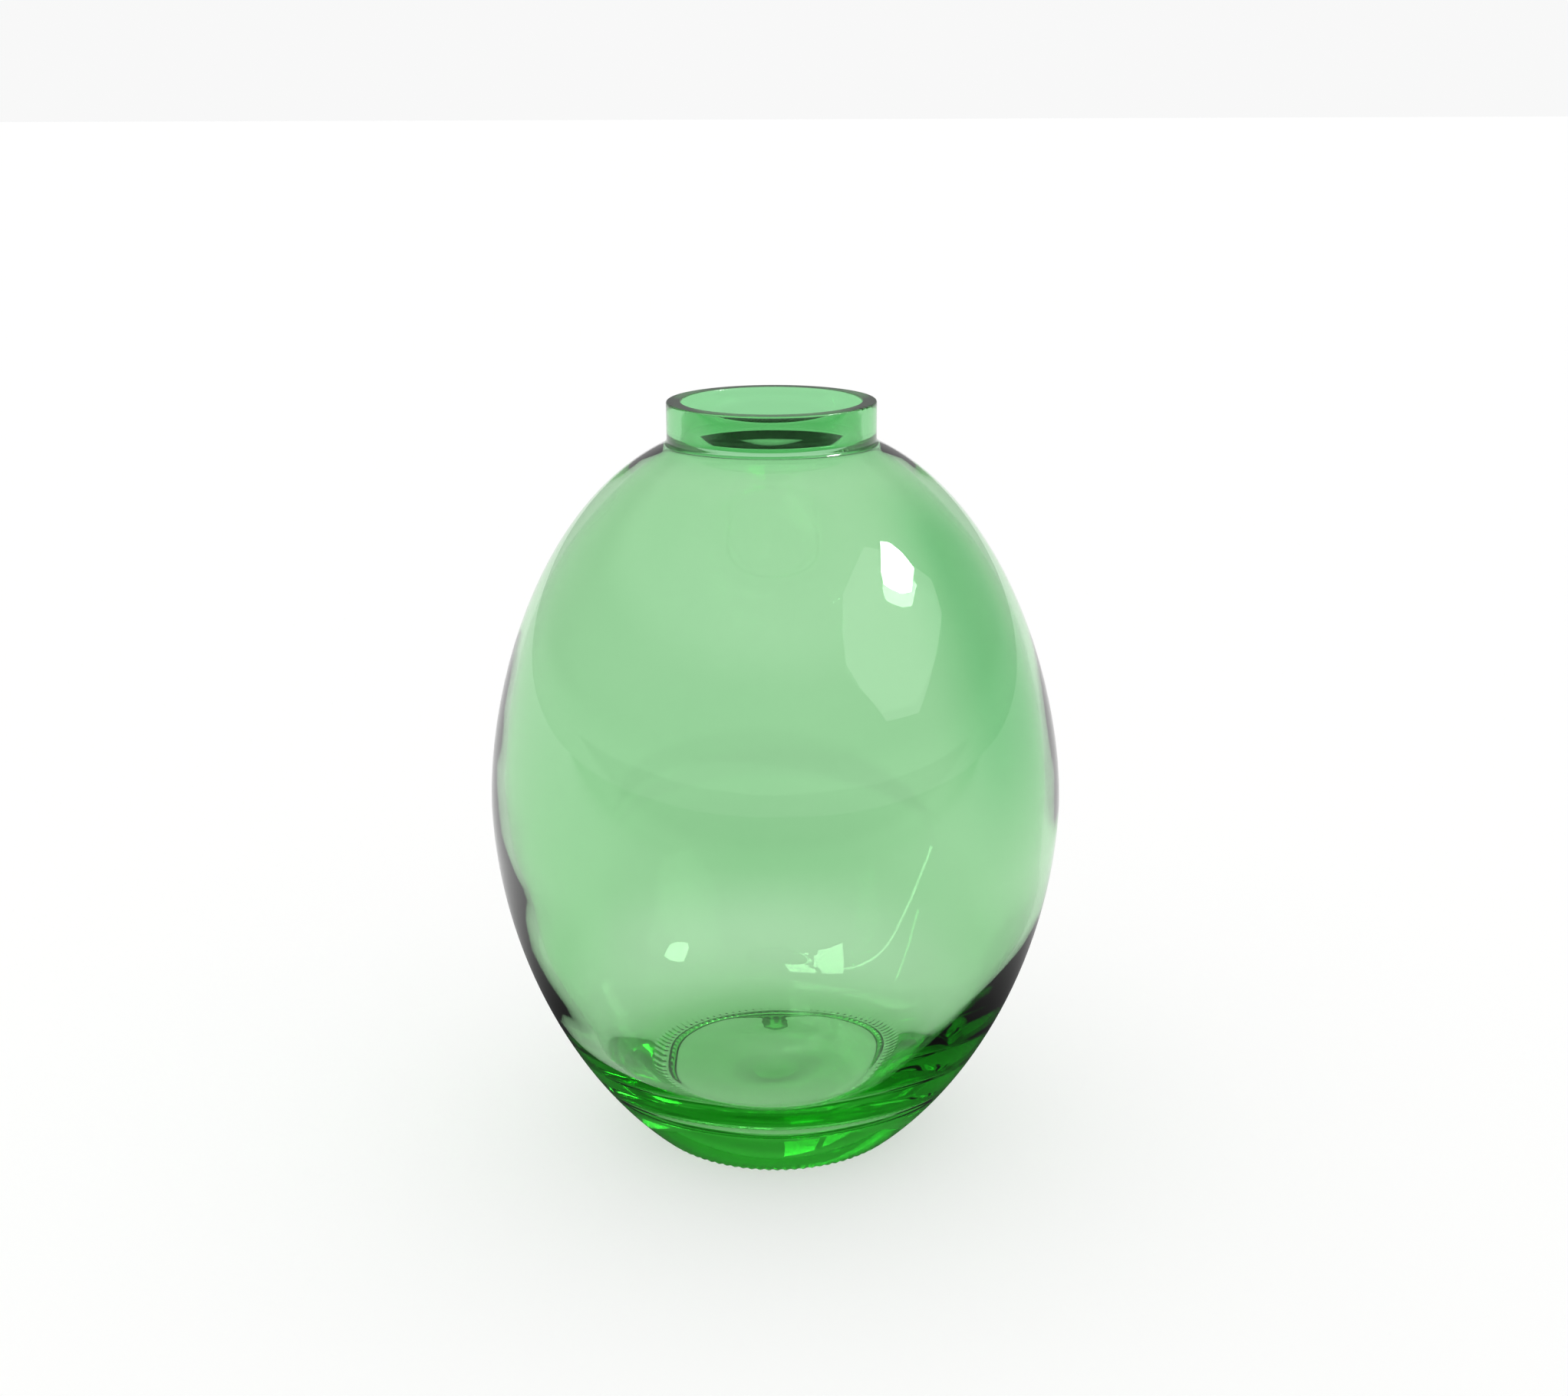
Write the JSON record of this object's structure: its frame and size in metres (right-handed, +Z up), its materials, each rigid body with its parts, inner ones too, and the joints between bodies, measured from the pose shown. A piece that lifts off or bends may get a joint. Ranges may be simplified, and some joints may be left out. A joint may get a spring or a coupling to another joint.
{
  "type": "bud vase",
  "caption": "Egg-shaped green glass bud vase with a short straight collar, a ground flat rim, a heavy base and a knurled standing ring. Holds water and a few stems.",
  "frame": {"origin": "on the vase's axis, at the level of the standing ring", "axes": "+Z up along the vase's axis, from the standing ring to the mouth; the shape is turned, so +X and +Y are free"},
  "size_m": [0.106, 0.106, 0.14],
  "materials": {
    "green_glass": "clear pale green soda-lime glass, fire polished, with a cut and ground rim"
  },
  "bodies": {
    "root": {"glass_vase": "green_glass"}
  },
  "joints": []
}
